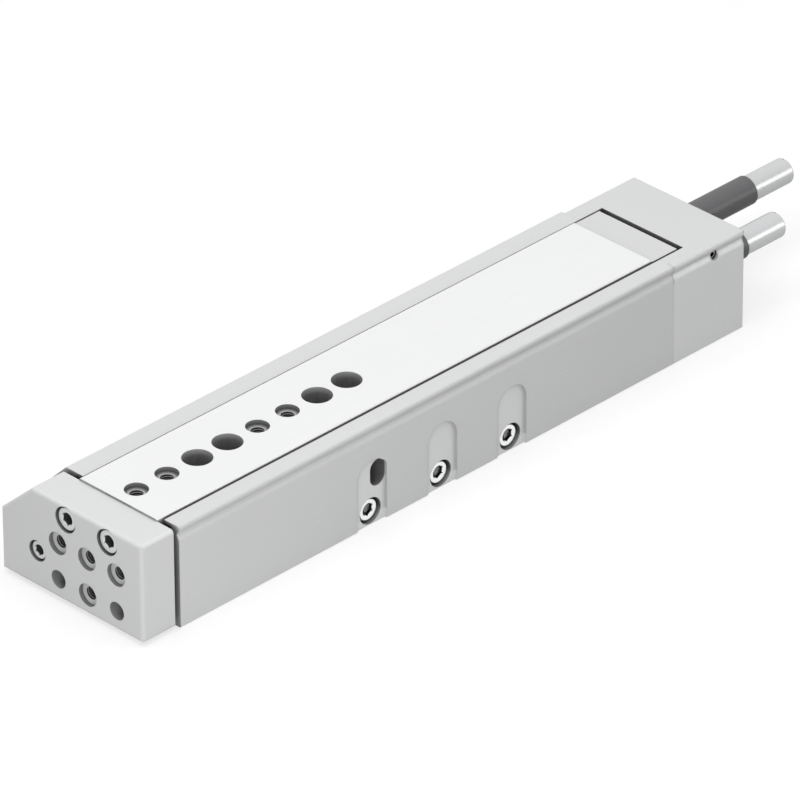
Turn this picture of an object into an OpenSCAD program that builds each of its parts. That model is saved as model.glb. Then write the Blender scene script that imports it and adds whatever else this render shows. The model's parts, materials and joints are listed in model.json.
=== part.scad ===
// Pneumatic slide table: a ball-cage guided slide on an extruded housing, moved by one
// cylinder beside the guide, with an adjustable shock absorber for each end of the travel.
// +X is the way the slide advances and +Z is up. The origin is the centre of the
// housing's underside. Millimetres.

/* [Housing] */
// Width of the housing, the rear cap and the yoke
housing_w = 97; // [95:0.5:103]
// Height of the housing
housing_h = 56; // [55:0.5:60]
// Length of the extruded main body
main_len = 338; // [330:2:360]
// Length of the rear cap
cap_len = 50; // [46:1:60]
// Width of the long chamfer along the main body
chamfer_w = 20; // [14:0.5:21]
// Width of the same chamfer on the rear cap and the yoke
end_chamfer_w = 22; // [16:0.5:23]
// Height of the chamfers
chamfer_h = 20; // [14:0.5:22]
// Depth of the V groove below the top edge
groove_deep = 1.6; // [1:0.1:2]
// Height of the V groove
groove_h = 5.8; // [4:0.1:6]
// Distance from the top face down to the V groove
groove_drop = 1.8; // [1.4:0.1:2.4]
// Size of the small bevels along the sharp edges
edge = 0.5; // [0.2:0.1:0.8]

/* [Guide] */
// Thickness of the housing's wall between the slide and the side with the pockets
guide_wall = 10; // [9:0.1:11]
// Width of the housing beside the slide, over the cylinder
cylinder_side = 31.6; // [31:0.1:33]
// Thickness of the slide plate
slide_t = 16.5; // [15.5:0.5:17]
// Height of the slide above the housing's top face
slide_rise = 1; // [0.5:0.1:1.6]
// Length of the lower step at the slide's rear end
rear_step = 18.3; // [10:0.1:22]
// Gap between the slide and the housing on each side
side_gap = 1.2; // [1.1:0.1:1.5]
// Gap below the slide plate
under_gap = 1; // [0.6:0.1:1.4]
// Width of the steel guide rails
rail_w = 5; // [4:0.2:5.6]
// Height of the steel guide rails
rail_h = 12; // [10:0.2:13]
// Diameter of the guide balls
ball_d = 5; // [4:0.1:5.4]
// Distance from ball to ball
ball_pitch = 7; // [6:0.25:9]
// Length of each ball cage
cage_len = 140; // [110:2:150]
// Height of each ball cage
cage_h = 9; // [8:0.2:10]
// Thickness of each ball cage
cage_t = 0.6; // [0.4:0.05:0.7]

/* [Travel and stops] */
// Stroke of the slide
stroke = 200; // [180:2:204]
// Depth of the slide's pocket in the rear cap
pocket_deep = 16.8; // [14:0.2:18]
// Gap between the slide's rear end and the pocket's wall
rear_gap = 3.2; // [3:0.1:5]
// Distance from the top face down to the absorber axes
stop_drop = 22; // [21.5:0.1:22.5]
// Distance from the channel's wall on the pocket side to the retract absorber's axis
retract_inset = 8.3; // [8.2:0.1:9]
// Distance from the channel's wall on the cylinder side to the advance absorber's axis
advance_inset = 13.3; // [12.5:0.1:14]
// Outer diameter of the stop sleeves
sleeve_d = 15.6; // [15:0.1:16]
// Outer diameter of the absorber bodies
absorber_d = 13.9; // [12:0.1:14.2]
// Length of the absorber bodies
absorber_len = 64; // [60:1:68]
// Length of the advance absorber that stands out of its sleeve
tail_len = 28.2; // [24:0.1:32]
// Length of the retract sleeve behind the rear cap
retract_out = 15.6; // [14:0.1:22]
// Length of the advance sleeve behind the rear cap
advance_out = 58; // [50:0.5:66]
// How far each buffer stands in front of its metal stop
cushion_reach = 2.6; // [2:0.1:2.8]
// Travel of the absorber plungers
plunger_stroke = 10; // [8:0.5:10.5]
// Diameter of the plungers
plunger_d = 5; // [4:0.1:6]
// Diameter of the buffers on the plungers
buffer_d = 9; // [8:0.1:10]
// Length of the buffers
buffer_len = 5; // [4:0.1:5]
// Length of the slide's stop lug
lug_len = 16; // [13:0.5:18]
// Length of the fixed stop block
block_len = 22; // [20:0.5:26]

/* [Cylinder] */
// Distance from the housing's side to the cylinder's axis
rod_inset = 25; // [23.5:0.1:25.5]
// Height of the cylinder's axis above the base
rod_z = 22.3; // [21.8:0.1:23]
// Diameter of the cylinder bore
bore_d = 20; // [18:0.1:20.4]
// Diameter of the piston rod
rod_d = 10; // [9:0.1:11]
// Length of the piston
piston_len = 20; // [19:0.5:22]
// Length of the rod bush
bush_len = 14; // [12:0.5:16]
// Distance from the housing's front face to the rod bush
bush_inset = 4; // [3.6:0.1:6]

/* [Yoke] */
// Thickness of the yoke plate
yoke_t = 21; // [19.5:0.5:24]
// Gap between the yoke plate and the housing
yoke_gap = 3.5; // [2.5:0.1:5]
// Height of the yoke's underside above the base
yoke_lift = 2; // [1:0.1:3]
// Grid of the tool holes
hole_pitch = 20; // [19:0.1:20.4]
// Height of the lower row of yoke holes
row_z = 12.7; // [12:0.1:13.4]
// Distance from the slide's sides to the yoke screws
yoke_screw_inset = 12.3; // [12:0.1:13]
// Diameter of the centring recesses
centring_d = 12; // [10:0.1:12.6]
// Depth of the centring recesses
centring_deep = 2.6; // [2:0.1:3]
// Core diameter of the tool threads
thread_core_d = 6.8; // [6:0.1:7]
// Depth of the yoke's tool threads
thread_deep = 15; // [12:0.5:16]
// Diameter of the plain pin holes in the yoke
pin_hole_d = 9.6; // [8:0.1:10.4]
// Depth of the plain pin holes
pin_hole_deep = 12; // [8:0.5:15]
// Radius of the yoke's rounded edges
yoke_edge_r = 2; // [1:0.1:3]

/* [Slide holes] */
// Distance from the yoke to the first hole in the slide
first_hole = 12; // [10:0.1:14]
// Diameter of the large access holes in the slide
access_d = 15.4; // [14.8:0.1:16]

/* [Base] */
// Lengthwise distance between the threaded base holes
base_pitch_x = 200; // [190:2:210]
// Distance from the housing's sides to the threaded base holes
base_inset = 10.5; // [10:0.1:11]
// Depth of the threaded base holes
base_thread_deep = 14; // [10:0.5:16]
// Diameter of the through holes in the housing's floor
through_d = 9; // [8.6:0.1:9.4]
// Diameter of the screw head recess above each through hole
through_head_d = 14.4; // [13.6:0.1:14.6]
// Thickness of the floor under those screw heads
through_seat = 12; // [9:0.5:14]

/* [Side pockets] */
// Distance from the housing's front face to the middle of the first pocket
pocket_first = 128; // [122:0.5:128.5]
// Distance from pocket to pocket
pocket_pitch = 48; // [44:0.5:50]
// Width of the side pockets
pocket_w = 20; // [18:0.2:21]
// Height of the side pockets
pocket_h = 37; // [35:0.5:39]
// Depth of the side pockets
pocket_cut = 1.5; // [1:0.1:2]
// Height of the plugs' axes above the base
plug_z = 7.6; // [7.4:0.1:9]
// Diameter of the plug heads
plug_head_d = 12.4; // [11.4:0.1:12.8]
// Diameter of the plug threads
plug_thread_d = 9.6; // [8:0.1:9.8]
// Width of the window in the first pocket
window_w = 10; // [8:0.1:12]
// Height of the window
window_h = 14.6; // [13:0.1:16]
// Distance from the absorber axes down to the window's centre
window_below = 6.6; // [6:0.1:8]

/* [Ports] */
// Core diameter of the supply ports
port_d = 8.6; // [8:0.1:9.2]
// Depth of the supply ports
port_deep = 9; // [7:0.5:11]
// Distance between the two supply ports
port_pitch = 22; // [16:0.5:24]
// Height of the supply ports above the base
port_z = 21; // [19:0.5:23]

/* [Rear cap fittings] */
// Distance of the lower cap screws from the sides and the base
cap_screw_inset = 7.5; // [7:0.1:8.5]
// Distance from the top face down to the upper cap screw
cap_screw_drop = 12; // [11:0.5:14]
// Distance from the absorber axes down to the cap screw beside them
cap_screw_below = 5; // [3:0.5:7]
// Distance from the cap's rear face to the set screw
set_screw_place = 20.6; // [10:0.2:30]
// Distance from the top face down to the set screw
set_screw_drop = 6; // [5.4:0.1:7]

/* [Screws] */
// Thread diameter of the yoke screws
yoke_screw_d = 8; // [7:0.1:8.2]
// Length of the yoke screws below the head
yoke_screw_len = 28; // [24:1:34]
// Thread diameter of the rod screw
rod_screw_d = 6; // [5:0.1:6.4]
// Length of the rod screw below the head
rod_screw_len = 30; // [26:1:36]
// Thread diameter of the cap screws
cap_screw_d = 4; // [3.5:0.1:4.4]
// Thread diameter of the block screws
block_screw_d = 5; // [4:0.1:5.4]
// Thread diameter of the set screw
set_screw_d = 5; // [4.4:0.1:5]
// Diameter of the dowels between the yoke and the slide
dowel_d = 5; // [4:0.1:6]
// Distance from the slide's sides to those dowels
dowel_inset = 5; // [4.5:0.1:5.5]
// Length of those dowels
dowel_len = 16; // [12:0.5:18]

/* [Clearances] */
// Radial play of a thread or a seated round piece
seat_play = 0.05; // [0.02:0.01:0.1]
// Radial play of a sliding fit
run_play = 0.08; // [0.03:0.01:0.1]
// Play of each ball in its two grooves
ball_play = 0.3; // [0.2:0.05:0.4]
// Radial play of the advance sleeve in the rear cap
tunnel_play = 0.5; // [0.3:0.05:0.8]
// Play of the stop lug in its channel
lug_play = 0.4; // [0.3:0.05:0.6]
// Rest gap between pieces that only meet in use
rest_gap = 0.3; // [0.2:0.05:0.5]

/* [Hidden] */
$fn = 64;
// Small overlap that joins two solids, and the length by which cuts run past a face
eps = 0.01;
past = 1;

body_color = [0.86, 0.87, 0.87];
cap_color = [0.80, 0.81, 0.81];
slide_color = [0.93, 0.94, 0.94];
steel_color = [0.62, 0.63, 0.65];
screw_color = [0.72, 0.73, 0.74];
piston_color = [0.78, 0.78, 0.76];
dark_color = [0.28, 0.29, 0.30];
rubber_color = [0.12, 0.12, 0.13];
brass_color = [0.72, 0.58, 0.30];

// Places along the travel
front_x = (main_len + cap_len) / 2;
seam_x = front_x - main_len;
rear_x = seam_x - cap_len;
yoke_x = front_x + yoke_gap;
yoke_front_x = yoke_x + yoke_t;
wall_x = seam_x - pocket_deep;
slide_rear_x = wall_x + rear_gap;
slide_len = yoke_x - slide_rear_x;
lug_front_x = slide_rear_x + lug_len;
advance_tip_x = lug_front_x + cushion_reach;
stop_x = advance_tip_x + stroke + rest_gap;
deep_end_x = stop_x + block_len;

// Places across and up
side_y = housing_w / 2;
guide_y = (cylinder_side - guide_wall) / 2;
channel_w = housing_w - cylinder_side - guide_wall;
slide_w = channel_w - 2 * side_gap;
slide_top = housing_h + slide_rise;
slide_bottom = slide_top - slide_t;
channel_z = slide_bottom - under_gap;
track_z = (slide_bottom + housing_h) / 2;
track_out = (slide_w + side_gap) / 2;
groove_r = ball_d / 2 + ball_play;
groove_top = housing_h - groove_drop;
rod_y = rod_inset - side_y;
stop_z = housing_h - stop_drop;
retract_y = guide_y + channel_w / 2 - retract_inset;
advance_y = guide_y - channel_w / 2 + advance_inset;

// Deep channel: as wide as the lug around the advance sleeve
lug_wall = 1.5;
sleeve_hole_d = sleeve_d + 2 * run_play;
deep_r = sleeve_hole_d / 2 + lug_wall + lug_play;
deep_z = stop_z - deep_r;
deep_side_y = guide_y + channel_w / 2;

// Retract stop: its plunger goes in all the way before the buffer meets the absorber
press_gap = 0.9;
retract_rear_x = rear_x - retract_out;
retract_tip_x = slide_rear_x - rest_gap;
retract_sleeve_x = retract_tip_x - cushion_reach;
retract_front_x = retract_tip_x - buffer_len - plunger_stroke - press_gap;
retract_tail_x = retract_front_x - absorber_len;

// Advance stop: its sleeve ends just inside the lug, narrowed there to guide the pusher
sleeve_recess = 1;
guide_end_len = 12;
pusher_gap = 1;
advance_rear_x = rear_x - advance_out;
advance_tail_x = advance_rear_x - tail_len;
advance_front_x = advance_tail_x + absorber_len;
advance_sleeve_x = lug_front_x - sleeve_recess;

// Absorbers
sleeve_bore_d = absorber_d + 2 * seat_play;
plunger_grip = 11;
plunger_bore_len = plunger_stroke + plunger_grip + 2;
buffer_grip = 2;
tail_edge_r = 1.2;
tail_slot_w = 1.2;
tail_slot_deep = 1.4;

// Cylinder
bush_x = front_x - bush_inset;
bush_rear_x = bush_x - bush_len;
end_gap = 1;
piston_x = bush_rear_x - end_gap - stroke - piston_len;
bore_end_x = piston_x - end_gap;

// Piston: a nut in its rear end, then a seal, the magnet and the second seal
piston_edge = 1.2;
seal_w = 2.5;
seal_root_d = bore_d - 5;
magnet_w = 4;
spigot_d = 6;
spigot_end = 0.5;
magnet_sink = 1;
nut_h = 4.5;
nut_w = 9.9;
nut_d = nut_w / cos(30);
nut_sink = 0.4;
nut_room = 0.5;
nut_recess_d = nut_d + 2 * nut_room;
nut_seat_x = piston_x + nut_sink + nut_h;
seal_x = [nut_seat_x + 0.5, piston_x + piston_len - seal_w - piston_edge];
magnet_x = (seal_x[0] + seal_w + seal_x[1] - magnet_w) / 2;

// Rod bush: a seal in front, an O-ring around it and a spring ring that holds it
seal_seat_d = rod_d + 5;
seal_seat_len = 3;
o_ring_d = 1.8;
o_ring_room = 0.4;
o_ring_back = 5;
o_ring_x = bush_rear_x + o_ring_back;
ring_w = 1.2;
ring_deep = 0.9;
ring_band = 1.3;
ring_slot = 2;
eye_d = 3;
eye_hole_d = 1.2;
eye_angle = 14;

// Fasteners
head_play = 0.35;
head_sink = 0.6;
tap_extra = 2;
hex_share = 0.6;
yoke_head_d = yoke_screw_d * 1.625;
yoke_head_h = yoke_screw_d;
yoke_seat_x = yoke_front_x - yoke_head_h - head_sink;
yoke_screw_y = [for (s = [-1, 1]) guide_y + s * (slide_w / 2 - yoke_screw_inset)];
dowel_y = [for (s = [-1, 1]) guide_y + s * (slide_w / 2 - dowel_inset)];
rod_head_d = rod_screw_d * 1.75;
rod_head_h = rod_screw_d;
rod_seat_x = yoke_front_x - rod_head_h - head_sink;
rod_screw_end_x = rod_seat_x - rod_screw_len;
cap_head_d = cap_screw_d * 1.75;
cap_screw_grip = 12;
// The upper cap screw stands halfway between the chamfer and the guide rail, the one beside
// the absorbers in the middle of the channel's side wall.
cap_screw_high_y = (end_chamfer_w * (1 - cap_screw_drop / chamfer_h) - side_y
    + guide_y - channel_w / 2 - rail_w) / 2;
cap_screw_places = [[cap_screw_inset - side_y, cap_screw_inset],
    [side_y - cap_screw_inset, cap_screw_inset],
    [cap_screw_high_y, housing_h - cap_screw_drop],
    [(deep_side_y + side_y) / 2, stop_z - cap_screw_below]];
set_screw_x = rear_x + set_screw_place;
set_screw_z = housing_h - set_screw_drop;
set_screw_len = 8;
set_hex_deep = 2.5;
set_screw_y = side_y - groove_deep - head_sink - set_screw_len;

// Side plugs and supply ports
pocket_y = side_y - pocket_cut;
window_z = stop_z - window_below;
plug_head_h = 4;
plug_sink = 1.6;
plug_thread_len = 8;
plug_ring_h = 1;
plug_recess_play = 1;
plug_hex = 6;
plug_seat_y = pocket_y - plug_head_h - plug_ring_h;
port_x = [for (s = [-1, 1]) rear_x + (cap_len + s * port_pitch) / 2];

// Stop block: beside the screw recess in the floor, its top just under the slide
block_head_d = block_screw_d * 1.7;
block_screw_len = 26;
block_screw_inset = 6;
block_clear = 0.8;
block_top = channel_z - rest_gap;
block_left_y = advance_y - deep_r;
block_right_y = guide_y - through_head_d / 2 - block_clear;
block_seat_z = block_top - head_sink - block_screw_d;
block_screw_x = [stop_x + block_screw_inset, deep_end_x - block_screw_inset];
block_screw_y = (block_left_y + block_right_y) / 2;

pockets = [0 : 2];
holes = [0 : 7];

function hole_x(i) = yoke_x - first_hole - i * hole_pitch;
function is_access(i) = floor(i / 2) % 2 == 1;
function pocket_x(i) = front_x - pocket_first - i * pocket_pitch;
function ball_x(i) = cage_x() + ball_pitch * (i + 0.5);
function ball_count() = floor(cage_len / ball_pitch);
// The cage stands in the middle of the overlap of slide and housing at full stroke,
// less half the stroke.
function cage_x() = (slide_rear_x + stroke + front_x) / 2 - stroke / 2 - cage_len / 2;
// Width across the flats of a socket head screw's hexagon
function hex_size(d) = round(d * 0.8);

// Carries a flat outline drawn in Y and Z along X.
module along_x(x, len) {
    translate([x, 0, 0]) rotate([90, 0, 90]) linear_extrude(len) children();
}

module x_rod(d, x0, x1, y, z) {
    translate([x0, y, z]) rotate([0, 90, 0]) cylinder(d = d, h = x1 - x0);
}

module y_rod(d, x, y0, y1, z) {
    translate([x, y0, z]) rotate([-90, 0, 0]) cylinder(d = d, h = y1 - y0);
}

module z_rod(d, x, y, z0, z1) {
    translate([x, y, z0]) cylinder(d = d, h = z1 - z0);
}

// Socket head screw: the head's top is at the origin and the shank points down.
module socket_screw(d, head_d, head_h, len, hex) {
    difference() {
        union() {
            translate([0, 0, -head_h]) cylinder(d = head_d, h = head_h);
            translate([0, 0, -head_h - len]) cylinder(d = d, h = len + eps);
        }
        translate([0, 0, -head_h * hex_share]) cylinder(d = hex / cos(30), h = head_h, $fn = 6);
    }
}

module ring(outer_d, inner_d, h) {
    difference() {
        cylinder(d = outer_d, h = h);
        translate([0, 0, -past]) cylinder(d = inner_d, h = h + 2 * past);
    }
}

// Ring along X, from x0 to x1.
module x_ring(outer_d, inner_d, x0, x1, y, z) {
    translate([x0, y, z]) rotate([0, 90, 0]) ring(outer_d, inner_d, x1 - x0);
}

// End view of the housing: a box with the long chamfer and the V groove.
module housing_outline(chamfer) {
    polygon([[edge - side_y, 0], [side_y - edge, 0], [side_y, edge],
        [side_y, groove_top - groove_h], [side_y - groove_deep, groove_top - groove_h / 2],
        [side_y, groove_top], [side_y, housing_h - edge], [side_y - edge, housing_h],
        [chamfer - side_y, housing_h], [-side_y, housing_h - chamfer_h], [-side_y, edge]]);
}

// The wide channel that the slide plate runs in.
module channel_outline() {
    translate([guide_y - channel_w / 2, channel_z])
        square([channel_w, housing_h - channel_z + past]);
}

// The deep channel under it, for the stop lug and the advance sleeve.
module deep_outline(play) {
    r = deep_r - play;
    right = deep_side_y - play;
    translate([advance_y, stop_z]) circle(r);
    translate([advance_y, stop_z - r]) square([right - advance_y, channel_z - stop_z + r]);
    translate([advance_y - r, stop_z]) square([2 * r, channel_z - stop_z]);
}

module rail_outline(side, play) {
    inner = guide_y + side * channel_w / 2;
    translate([side > 0 ? inner - play : inner - rail_w - play, track_z - rail_h / 2 - play])
        square([rail_w + 2 * play, rail_h + 2 * play]);
}

module track_outline(side) {
    translate([guide_y + side * track_out, track_z]) circle(groove_r);
}

// Pocket in the side face, round at the top and open at the bottom.
module side_pocket(x) {
    straight = pocket_h - pocket_w / 2;
    translate([x - pocket_w / 2, pocket_y, -past])
        cube([pocket_w, pocket_cut + past, straight + past]);
    y_rod(pocket_w, x, pocket_y, side_y + past, straight);
}

// Recess, seat and thread of one plug.
module plug_hole(x) {
    y_rod(plug_head_d + 2 * plug_recess_play, x, plug_seat_y, pocket_y + past, plug_z);
    y_rod(plug_thread_d + 2 * seat_play, x, plug_seat_y - plug_thread_len - tap_extra,
        plug_seat_y + past, plug_z);
}

// Window through the wall of the first pocket, round at both ends.
module window_cut() {
    x = pocket_x(0) + (window_w - pocket_w) / 2;
    y0 = deep_side_y - past;
    y1 = side_y + past;
    straight = window_h - window_w;
    translate([x - window_w / 2, y0, window_z - straight / 2]) cube([window_w, y1 - y0, straight]);
    for (s = [-1, 1]) y_rod(window_w, x, y0, y1, window_z + s * straight / 2);
}

module housing() color(body_color) {
    difference() {
        along_x(seam_x, main_len) difference() {
            housing_outline(chamfer_w);
            channel_outline();
            rail_outline(-1, 0);
            rail_outline(1, 0);
        }
        along_x(seam_x - past, deep_end_x - seam_x + past) deep_outline(0);
        x_rod(bore_d, bore_end_x, front_x + past, rod_y, rod_z);
        x_rod(bore_d + 2 * ring_deep, bush_x, bush_x + ring_w, rod_y, rod_z);
        for (i = pockets) {
            side_pocket(pocket_x(i));
            plug_hole(pocket_x(i));
        }
        window_cut();
        for (place = cap_screw_places)
            x_rod(cap_screw_d + 2 * seat_play, seam_x - past,
                seam_x + cap_screw_grip + tap_extra, place[0], place[1]);
        for (i = holes) if (is_access(i)) {
            z_rod(through_d, hole_x(i), guide_y, -past, housing_h);
            z_rod(through_head_d, hole_x(i), guide_y, through_seat, housing_h);
        }
        for (sx = [-1, 1], sy = [-1, 1])
            z_rod(thread_core_d, sx * base_pitch_x / 2, sy * (side_y - base_inset), -past,
                base_thread_deep);
        for (x = block_screw_x)
            z_rod(block_screw_d + 2 * seat_play, x, block_screw_y,
                block_seat_z - block_screw_len - tap_extra, stop_z);
    }
}

module rear_cap() color(cap_color) {
    difference() {
        along_x(rear_x, cap_len) housing_outline(end_chamfer_w);
        along_x(wall_x, pocket_deep + past) {
            channel_outline();
            deep_outline(0);
        }
        x_rod(sleeve_hole_d, rear_x - past, wall_x + past, retract_y, stop_z);
        x_rod(sleeve_d + 2 * tunnel_play, rear_x - past, wall_x + past, advance_y, stop_z);
        for (place = cap_screw_places) {
            x_rod(cap_screw_d + 2 * seat_play, rear_x - past, seam_x + past, place[0], place[1]);
            x_rod(cap_head_d + 2 * head_play, rear_x - past, rear_x + cap_screw_d + head_sink,
                place[0], place[1]);
        }
        y_rod(set_screw_d + 2 * seat_play, set_screw_x, set_screw_y, side_y + past, set_screw_z);
        for (x = port_x)
            y_rod(port_d, x, -side_y - past, port_deep - side_y, port_z);
    }
}

module cap_screws() color(screw_color) {
    for (place = cap_screw_places)
        translate([rear_x + head_sink, place[0], place[1]]) rotate([0, -90, 0])
            socket_screw(cap_screw_d, cap_head_d, cap_screw_d,
                cap_len - cap_screw_d - head_sink + cap_screw_grip, hex_size(cap_screw_d));
}

module guide_rail(side) {
    along_x(seam_x, main_len) difference() {
        rail_outline(side, 0);
        track_outline(side);
    }
}

module left_guide_rail() color(steel_color) guide_rail(-1);
module right_guide_rail() color(steel_color) guide_rail(1);

// Bush with an inner seal seat at its front and an O-ring groove outside.
module rod_bush() color(brass_color) {
    difference() {
        x_rod(bore_d - 2 * seat_play, bush_rear_x, bush_x, rod_y, rod_z);
        x_rod(rod_d + 2 * run_play, bush_rear_x - past, bush_x + past, rod_y, rod_z);
        x_rod(seal_seat_d, bush_x - seal_seat_len, bush_x + past, rod_y, rod_z);
        x_ring(bore_d + 2 * past, bore_d - 2 * o_ring_d, o_ring_x,
            o_ring_x + o_ring_d + o_ring_room, rod_y, rod_z);
    }
}

module bush_o_ring() color(rubber_color) {
    translate([o_ring_x + (o_ring_d + o_ring_room) / 2, rod_y, rod_z]) rotate([0, 90, 0])
        rotate_extrude() translate([(bore_d - o_ring_d) / 2 - seat_play, 0])
            circle(d = o_ring_d - 2 * seat_play, $fn = 24);
}

module rod_seal() color(rubber_color) {
    x_ring(seal_seat_d - 2 * seat_play, rod_d + 2 * run_play, bush_x - seal_seat_len, bush_x,
        rod_y, rod_z);
}

// Spring ring in its groove, open at the top, with two eyes for the pliers.
module bush_retaining_ring() color(dark_color) {
    outer = bore_d + 2 * ring_deep - 2 * seat_play;
    inner = bore_d - 2 * ring_band;
    eye_out = (inner - eye_d) / 2 + ring_band / 2;
    translate([bush_x, rod_y, rod_z]) rotate([0, 90, 0]) difference() {
        union() {
            ring(outer, inner, ring_w);
            for (a = [-eye_angle, eye_angle])
                rotate(180 + a) translate([eye_out, 0, 0]) cylinder(d = eye_d, h = ring_w);
        }
        translate([-outer, -ring_slot / 2, -past]) cube([outer, ring_slot, ring_w + 2 * past]);
        for (a = [-eye_angle, eye_angle])
            rotate(180 + a) translate([eye_out, 0, -past])
                cylinder(d = eye_hole_d, h = ring_w + 2 * past);
    }
}

module side_plugs() color(screw_color) {
    for (i = pockets)
        translate([pocket_x(i), pocket_y - plug_sink, plug_z]) rotate([-90, 0, 0])
            socket_screw(plug_thread_d, plug_head_d, plug_head_h - plug_sink,
                plug_ring_h + plug_thread_len, plug_hex);
}

module plug_sealing_rings() color(steel_color) {
    for (i = pockets)
        translate([pocket_x(i), plug_seat_y, plug_z]) rotate([-90, 0, 0])
            ring(plug_head_d, plug_thread_d + 2 * seat_play, plug_ring_h);
}

module set_screw() color(screw_color) {
    difference() {
        y_rod(set_screw_d, set_screw_x, set_screw_y, set_screw_y + set_screw_len, set_screw_z);
        translate([set_screw_x, set_screw_y + set_screw_len - set_hex_deep, set_screw_z])
            rotate([-90, 0, 0])
                cylinder(d = set_screw_d / 2 / cos(30), h = set_hex_deep + past, $fn = 6);
    }
}

// Block that the advance buffer meets, screwed to the floor of the deep channel.
module stop_block() color(steel_color) {
    difference() {
        along_x(stop_x, block_len) intersection() {
            deep_outline(seat_play);
            translate([block_left_y, deep_z - past])
                square([block_right_y - block_left_y, block_top - deep_z + past]);
        }
        for (x = block_screw_x) {
            z_rod(block_screw_d + 2 * seat_play, x, block_screw_y, deep_z - past, housing_h);
            z_rod(block_head_d + 2 * head_play, x, block_screw_y, block_seat_z, housing_h);
        }
    }
}

module stop_block_screws() color(screw_color) {
    for (x = block_screw_x)
        translate([x, block_screw_y, block_seat_z + block_screw_d])
            socket_screw(block_screw_d, block_head_d, block_screw_d, block_screw_len,
                hex_size(block_screw_d));
}

// Slide plate with both ball grooves, the tool holes and the stop lug at its rear end.
module slide_outline() {
    half = slide_w / 2;
    translate([guide_y, 0]) polygon([[-half, slide_bottom], [half, slide_bottom],
        [half, slide_top - edge], [half - edge, slide_top], [edge - half, slide_top],
        [-half, slide_top - edge]]);
}

// The lug fills the deep channel below the plate.
module lug_outline() {
    left = advance_y - deep_r + lug_play;
    top = slide_bottom + past;
    intersection() {
        union() {
            deep_outline(lug_play);
            translate([left, stop_z]) square([slide_w, top - stop_z]);
        }
        translate([guide_y - slide_w / 2, deep_z]) square([slide_w, top - deep_z]);
    }
}

module slide() color(slide_color) {
    difference() {
        union() {
            along_x(slide_rear_x, slide_len) difference() {
                slide_outline();
                track_outline(-1);
                track_outline(1);
            }
            along_x(slide_rear_x, lug_len) lug_outline();
        }
        translate([slide_rear_x - past, guide_y - channel_w / 2, housing_h])
            cube([rear_step + past, channel_w, slide_rise + past]);
        for (i = holes) {
            if (is_access(i)) {
                z_rod(access_d, hole_x(i), guide_y, slide_bottom - past, slide_top + past);
            } else {
                z_rod(centring_d, hole_x(i), guide_y, slide_top - centring_deep, slide_top + past);
                z_rod(thread_core_d, hole_x(i), guide_y, slide_bottom - past, slide_top + past);
            }
        }
        for (y = yoke_screw_y)
            x_rod(yoke_screw_d + 2 * seat_play, yoke_seat_x - yoke_screw_len - tap_extra,
                yoke_x + past, y, track_z);
        for (y = dowel_y)
            x_rod(dowel_d + 2 * seat_play, yoke_x - dowel_len / 2, yoke_x + past, y, track_z);
        x_rod(sleeve_hole_d, slide_rear_x - past, lug_front_x + past, advance_y, stop_z);
    }
}

// Square corner that turns into a round of radius r when it is taken away.
module corner_cut(r) {
    difference() {
        square(r + past);
        circle(r);
    }
}

module yoke_outline() {
    r = yoke_edge_r;
    difference() {
        polygon([[-side_y, yoke_lift], [side_y, yoke_lift], [side_y, housing_h],
            [end_chamfer_w - side_y, housing_h], [-side_y, housing_h - chamfer_h]]);
        translate([side_y - r, housing_h - r]) corner_cut(r);
        translate([side_y - r, yoke_lift + r]) mirror([0, 1]) corner_cut(r);
        translate([r - side_y, yoke_lift + r]) rotate(180) corner_cut(r);
    }
}

// Block below a plane at height z and side place y, tilted by a, with its front edge rounded.
module rounded_front(y, z, a) {
    r = yoke_edge_r;
    span = housing_w + housing_h;
    translate([0, y, z]) rotate([90 + a, 0, 0]) linear_extrude(2 * span, center = true) difference() {
        translate([yoke_x - past, -span]) square([yoke_t + past, span]);
        translate([yoke_front_x - r, -r]) corner_cut(r);
    }
}

// Plate with all edges of its front face rounded.
module yoke_blank() {
    intersection() {
        along_x(yoke_x, yoke_t) yoke_outline();
        rounded_front(0, housing_h, 0);
        rounded_front(0, yoke_lift, 180);
        rounded_front(side_y, 0, -90);
        rounded_front(-side_y, 0, 90);
        rounded_front(-side_y, housing_h - chamfer_h, atan2(chamfer_h, end_chamfer_w));
    }
}

module yoke_plate() color(body_color) {
    difference() {
        yoke_blank();
        for (y = yoke_screw_y) {
            x_rod(yoke_screw_d + 2 * seat_play, yoke_x - past, yoke_front_x + past, y, track_z);
            x_rod(yoke_head_d + 2 * head_play, yoke_seat_x, yoke_front_x + past, y, track_z);
        }
        for (y = dowel_y)
            x_rod(dowel_d + 2 * seat_play, yoke_x - past, yoke_x + dowel_len / 2, y, track_z);
        x_rod(rod_screw_d + 2 * seat_play, yoke_x - past, yoke_front_x + past, rod_y, rod_z);
        x_rod(rod_head_d + 2 * head_play, rod_seat_x, yoke_front_x + past, rod_y, rod_z);
        for (column = [-1, 0, 1], row = [0, 1]) {
            y = guide_y + column * hole_pitch;
            z = row_z + row * hole_pitch;
            if (row == 0 && column != 0) {
                x_rod(pin_hole_d, yoke_front_x - pin_hole_deep, yoke_front_x + past, y, z);
            } else {
                x_rod(centring_d, yoke_front_x - centring_deep, yoke_front_x + past, y, z);
                x_rod(thread_core_d, yoke_front_x - thread_deep, yoke_front_x + past, y, z);
            }
        }
    }
}

module yoke_screws() color(screw_color) {
    for (y = yoke_screw_y)
        translate([yoke_seat_x + yoke_head_h, y, track_z]) rotate([0, 90, 0])
            socket_screw(yoke_screw_d, yoke_head_d, yoke_head_h, yoke_screw_len,
                hex_size(yoke_screw_d));
}

module yoke_dowels() color(steel_color) {
    for (y = dowel_y)
        x_rod(dowel_d, yoke_x - dowel_len / 2, yoke_x + dowel_len / 2, y, track_z);
}

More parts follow.
